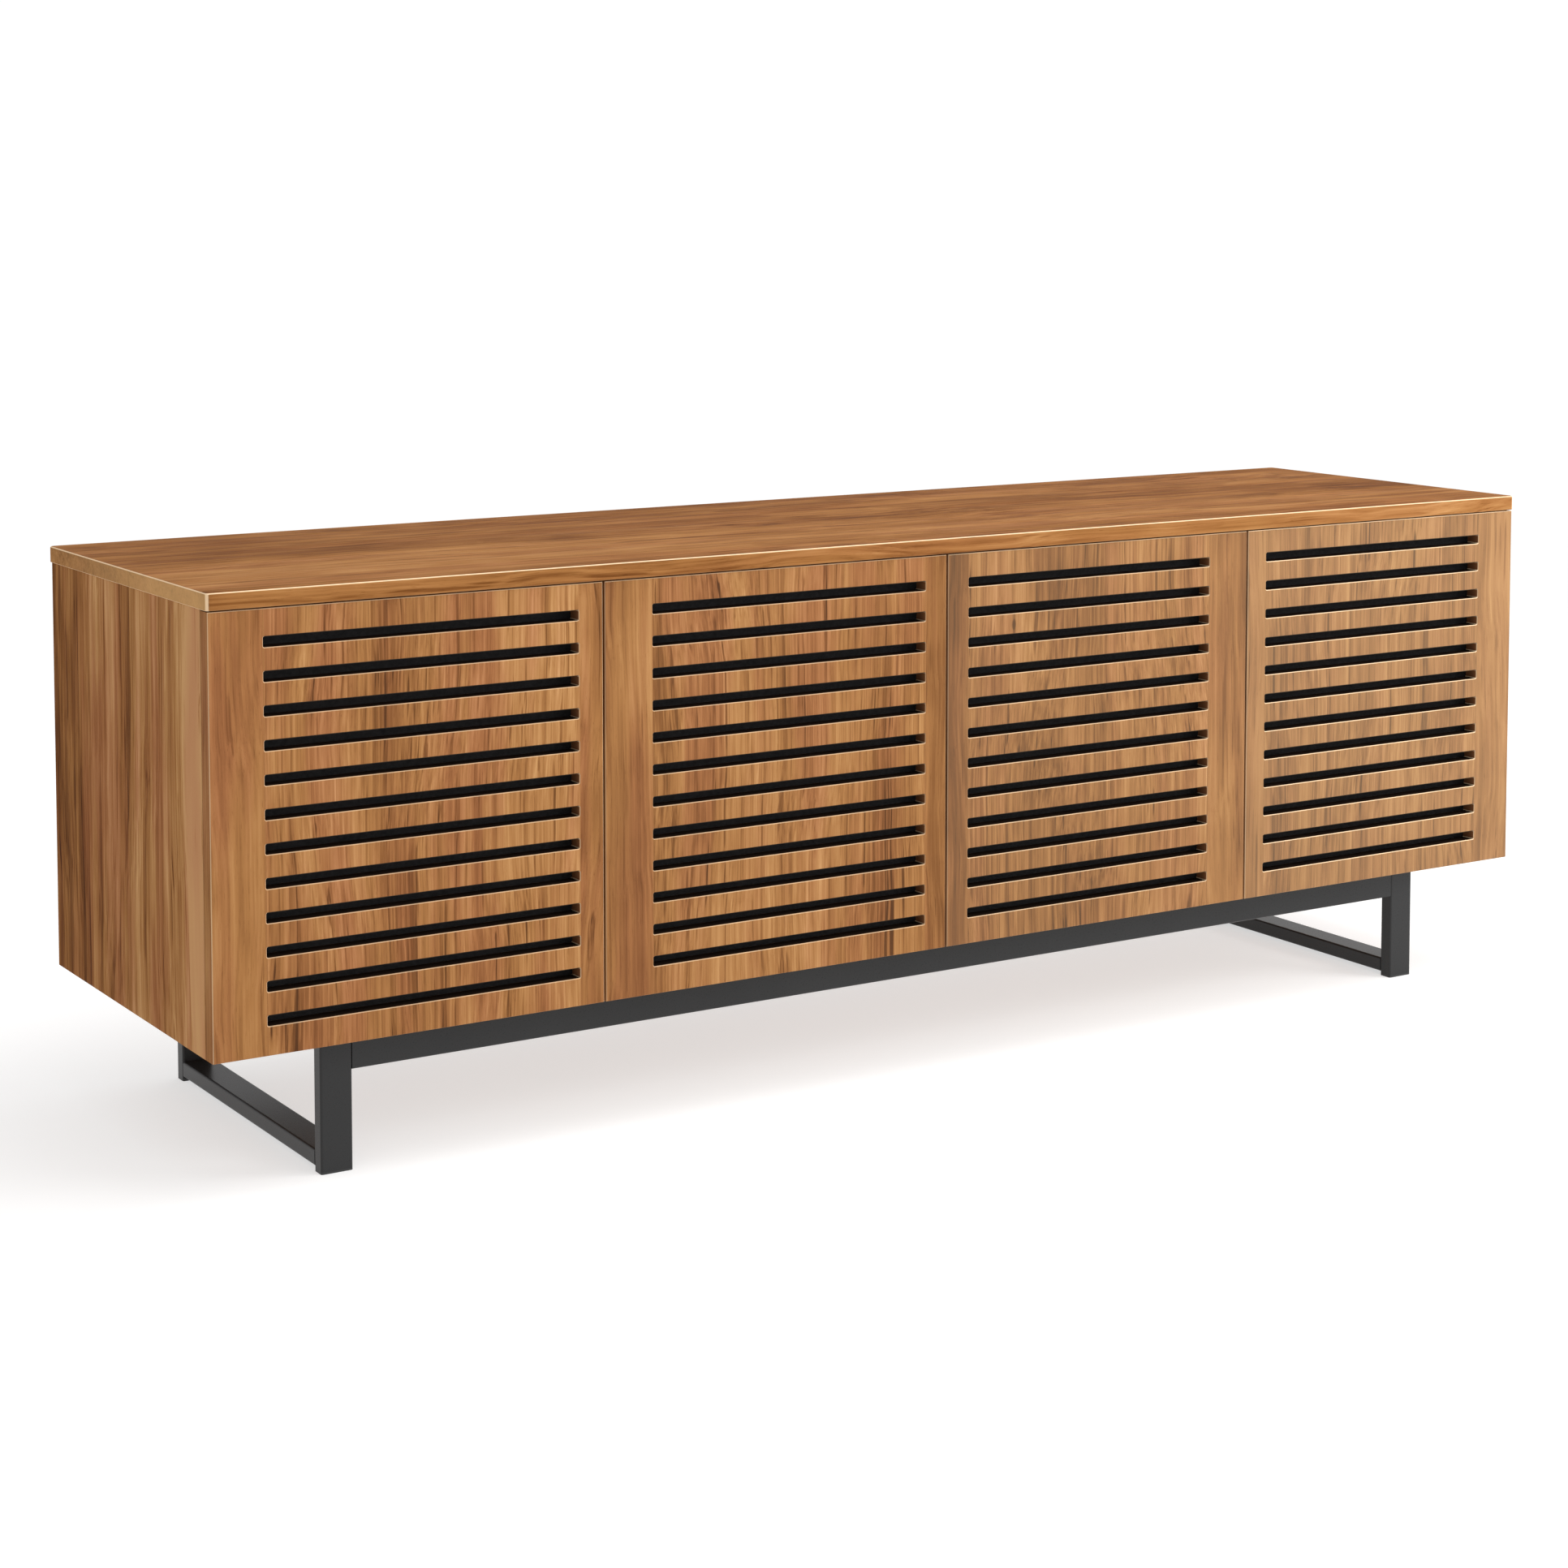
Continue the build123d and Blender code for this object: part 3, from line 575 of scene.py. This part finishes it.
def speaker_cloth():
    """Black acoustic cloth: a plain weave about half a millimetre to the thread."""
    material, tree, shader = new_material("black_speaker_cloth")
    spot = place(tree)
    across = split(tree, spot)[0]
    height = split(tree, spot)[2]
    thread = math.pi / (0.55 * MM)
    warp = maths(tree, "ABSOLUTE", maths(tree, "SINE", maths(tree, "MULTIPLY", across, thread)))
    weft = maths(tree, "ABSOLUTE", maths(tree, "SINE", maths(tree, "MULTIPLY", height, thread)))
    weave = maths(tree, "MULTIPLY", warp, weft)
    slub = noise(tree, spot, scale=220.0, detail=2.0)
    fuzz = maths(tree, "MULTIPLY", weave, slub)
    colour = mix_colour(tree, fuzz, (0.010, 0.0095, 0.010, 1), (0.050, 0.047, 0.047, 1))
    put(tree, shader.inputs["Base Color"], colour)
    shader.inputs["Roughness"].default_value = 0.95
    shader.inputs["Specular IOR Level"].default_value = 0.15
    bump(tree, shader, weave, 0.5, 0.2 * MM)
    return material


# --- Pieces -------------------------------------------------------------------------------------

def make_cloth(name, material):
    """One door's sheet of cloth: stretched flat behind the slots, with a folded hem round it."""
    low, high = [Vector(corner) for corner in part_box(f"{name}_door_cloth")]
    sheet_y = low.y + 0.25 * MM
    hem_y = high.y - 0.1 * MM
    grid = bmesh.new()
    points = []
    for row in range(CLOTH_ROWS + 1):
        line = []
        for column in range(CLOTH_COLUMNS + 1):
            x = low.x + (high.x - low.x) * column / CLOTH_COLUMNS
            z = low.z + (high.z - low.z) * row / CLOTH_ROWS
            edge = min(x - low.x, high.x - x, z - low.z, high.z - z)
            y = hem_y if edge < HEM else sheet_y
            line.append(grid.verts.new((x, y, z)))
        points.append(line)
    for row in range(CLOTH_ROWS):
        for column in range(CLOTH_COLUMNS):
            corners = (
                points[row][column],
                points[row][column + 1],
                points[row + 1][column + 1],
                points[row + 1][column],
            )
            grid.faces.new(corners)
    mesh = bpy.data.meshes.new(f"{name}_cloth_sheet")
    grid.to_mesh(mesh)
    grid.free()
    piece = bpy.data.objects.new(f"{name}_cloth_sheet", mesh)
    bpy.context.scene.collection.objects.link(piece)
    mesh.materials.append(material)
    for polygon in mesh.polygons:
        polygon.use_smooth = True
    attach(piece, f"{name}_door")
    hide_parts(f"{name}_door_cloth")


def dress(node, material):
    """Gives a CAD node its material in every slot."""
    thing = bpy.data.objects[node]
    if not thing.data.materials:
        thing.data.materials.append(material)
    for index in range(len(thing.data.materials)):
        thing.data.materials[index] = material


def dress_all():
    """Gives every piece its material, and each door its cloth."""
    top = veneer(
        "veneer_top",
        grain="X",
        seed=1.0,
        lift=-0.14,
        broad=0.5,
        streaks=0.6,
        fine=0.6,
        # The painted highlight on the top's eased edges
        worn=0.85,
        limed=0.0,
        ruddy=0.45,
        band=left_edge,
        shade=front_edging,
    )
    dress("top_panel", top)
    for number, (node, lift) in enumerate(UPRIGHT_LIFTS.items()):
        material = veneer(
            f"veneer_{node}",
            seed=2.6 + number,
            lift=lift,
            broad=1.6 if node == "left_side_panel" else 0.95,
            streaks=1.0 if node == "left_side_panel" else 0.7,
            fine=0.8,
            limed=0.0,
            shade=darker_to_the_back,
        )
        dress(node, material)
    for number, node in enumerate(("bottom_panel", "left_shelf", "centre_shelf", "right_shelf")):
        dress(node, veneer(f"veneer_{node}", grain="X", seed=6.0 + number))
    for number, bay in enumerate(BAYS):
        dress(f"{bay}_back_panel", veneer(f"veneer_{bay}_back", seed=11.0 + number, lift=-0.04))
    for number, (name, leaf) in enumerate(DOOR_LEAVES.items()):
        material = veneer(
            f"veneer_{name}_door",
            seed=21.0 + 1.37 * number,
            broad=0.50,
            streaks=0.75,
            fine=0.85,
            field=slot_zone(name),
            core=slot_walls_and_lip_shade(name),
            shade=stile_shade(name),
            **leaf,
        )
        dress(f"{name}_door_panel", material)

    steel = powder_coat()
    for row in ("front", "rear"):
        dress(f"{row}_rail", steel)
        for side in ("left", "right"):
            dress(f"{row}_{side}_post", steel)
    for side in ("left", "right"):
        dress(f"{side}_runner", steel)
        dress(f"{side}_top_bar", steel)

    plate = zinc()
    for node in ("shelf_pins", "cam_locks", "cam_bolts", "base_screws"):
        dress(node, plate)
    for node in ("hinge_plates", "hinge_arms", "hinge_pins", "hinge_screws"):
        dress(node, plate)
    plastic = moulded("black_plastic", (0.012, 0.012, 0.012, 1), (0.022, 0.022, 0.022, 1), 0.42)
    rubber = moulded("bumper_rubber", (0.05, 0.05, 0.05, 1), (0.09, 0.09, 0.09, 1), 0.6)
    cloth = speaker_cloth()
    dress("dowels", beech())
    dress("foot_caps", plastic)
    dress("latch_housings", plastic)
    for name in DOOR_LEAVES:
        dress(f"{name}_hinge_cups", plate)
        dress(f"{name}_hinge_links", plate)
        dress(f"{name}_latch_plunger", plastic)
        dress(f"{name}_door_bumpers", rubber)
        make_cloth(name, cloth)


# --- Studio -------------------------------------------------------------------------------------

def make_floor():
    """A plain pale floor that thins out far away, so that it meets the white studio with no line."""
    mesh = bpy.data.meshes.new("studio_floor")
    signs = ((-1, -1), (1, -1), (1, 1), (-1, 1))
    mesh.from_pydata([(x * FLOOR_HALF, y * FLOOR_HALF, 0) for x, y in signs], [], [(0, 1, 2, 3)])
    floor = bpy.data.objects.new("studio_floor", mesh)
    bpy.context.scene.collection.objects.link(floor)
    material, tree, shader = new_material("pale_floor")
    spot = place(tree)
    speck = noise(tree, spot, scale=40.0, detail=3.0)
    colour = mix_colour(tree, speck, (0.48, 0.48, 0.48, 1), (0.50, 0.50, 0.50, 1))
    put(tree, shader.inputs["Base Color"], colour)
    shader.inputs["Roughness"].default_value = 0.9
    shader.inputs["Specular IOR Level"].default_value = 0.1
    shader.inputs["Emission Color"].default_value = (1, 1, 1, 1)
    shader.inputs["Emission Strength"].default_value = 0.60
    radius = tree.nodes.new("ShaderNodeVectorMath")
    radius.operation = "LENGTH"
    put(tree, radius.inputs[0], spot)
    clear = tree.nodes.new("ShaderNodeBsdfTransparent")
    blend = tree.nodes.new("ShaderNodeMixShader")
    put(tree, blend.inputs[0], ramp01(tree, radius.outputs["Value"], FLOOR_SOLID, FLOOR_GONE))
    put(tree, blend.inputs[1], shader.outputs["BSDF"])
    put(tree, blend.inputs[2], clear.outputs["BSDF"])
    output = next(step for step in tree.nodes if step.type == "OUTPUT_MATERIAL")
    tree.links.new(blend.outputs["Shader"], output.inputs["Surface"])
    mesh.materials.append(material)


def make_world():
    """A white studio: a bright window in the horizon's band, and a ceiling brightest at the front right."""
    world = bpy.data.worlds.new("studio")
    bpy.context.scene.world = world
    world.use_nodes = True
    tree = world.node_tree
    tree.nodes.clear()
    output = tree.nodes.new("ShaderNodeOutputWorld")
    background = tree.nodes.new("ShaderNodeBackground")
    ways = split(tree, tree.nodes.new("ShaderNodeTexCoord").outputs["Generated"])
    right_front = maths(tree, "MULTIPLY_ADD", ways[0], 0.75, maths(tree, "MULTIPLY", ways[1], -0.65))
    lit = ramp01(tree, right_front, -0.8, 0.8)
    ceiling = mix_colour(tree, lit, (0.35, 0.35, 0.36, 1), (1.15, 1.14, 1.12, 1))
    above = ramp01(tree, ways[2], 0.12, 0.30)
    window = ramp01(tree, right_front, 0.89, 0.985)
    horizon = mix_colour(tree, window, (1.02, 1.02, 1.02, 1), (4.0, 4.0, 4.0, 1))
    put(tree, background.inputs["Color"], mix_colour(tree, above, horizon, ceiling))
    background.inputs["Strength"].default_value = 1.0
    tree.links.new(background.outputs["Background"], output.inputs["Surface"])


def soft_box(name, place_at, aim_at, width, height, power):
    light = bpy.data.lights.new(name, "AREA")
    light.shape = "RECTANGLE"
    light.size = width
    light.size_y = height
    light.energy = power
    lamp = bpy.data.objects.new(name, light)
    lamp.location = place_at
    lamp.rotation_euler = (Vector(aim_at) - Vector(place_at)).to_track_quat("-Z", "Y").to_euler()
    lamp.visible_camera = False
    bpy.context.scene.collection.objects.link(lamp)


def make_lights():
    soft_box("key_right", place_at=(2.3, -1.7, 1.5), aim_at=(0.5, 0, 0.35), width=1.2, height=1.0, power=34)
    soft_box("top_soft", place_at=(0.6, -0.8, 3.4), aim_at=(0, 0, 0.3), width=2.6, height=1.8, power=60)


def make_camera():
    """The camera looks nearly level, so that uprights stay almost upright, and a shift does the rest."""
    data = bpy.data.cameras.new("camera")
    data.lens = CAMERA_LENS
    data.sensor_width = 36.0
    data.shift_y = CAMERA_SHIFT_Y
    data.clip_start = 0.05
    data.clip_end = 200.0
    camera = bpy.data.objects.new("camera", data)
    camera.location = CAMERA_PLACE
    camera.rotation_euler = Euler((math.radians(90 + CAMERA_PITCH), 0, math.radians(-CAMERA_YAW)), "XYZ")
    bpy.context.scene.collection.objects.link(camera)
    bpy.context.scene.camera = camera


make_camera()
make_world()
make_lights()
make_floor()
dress_all()
bpy.context.scene.view_settings.view_transform = "Standard"
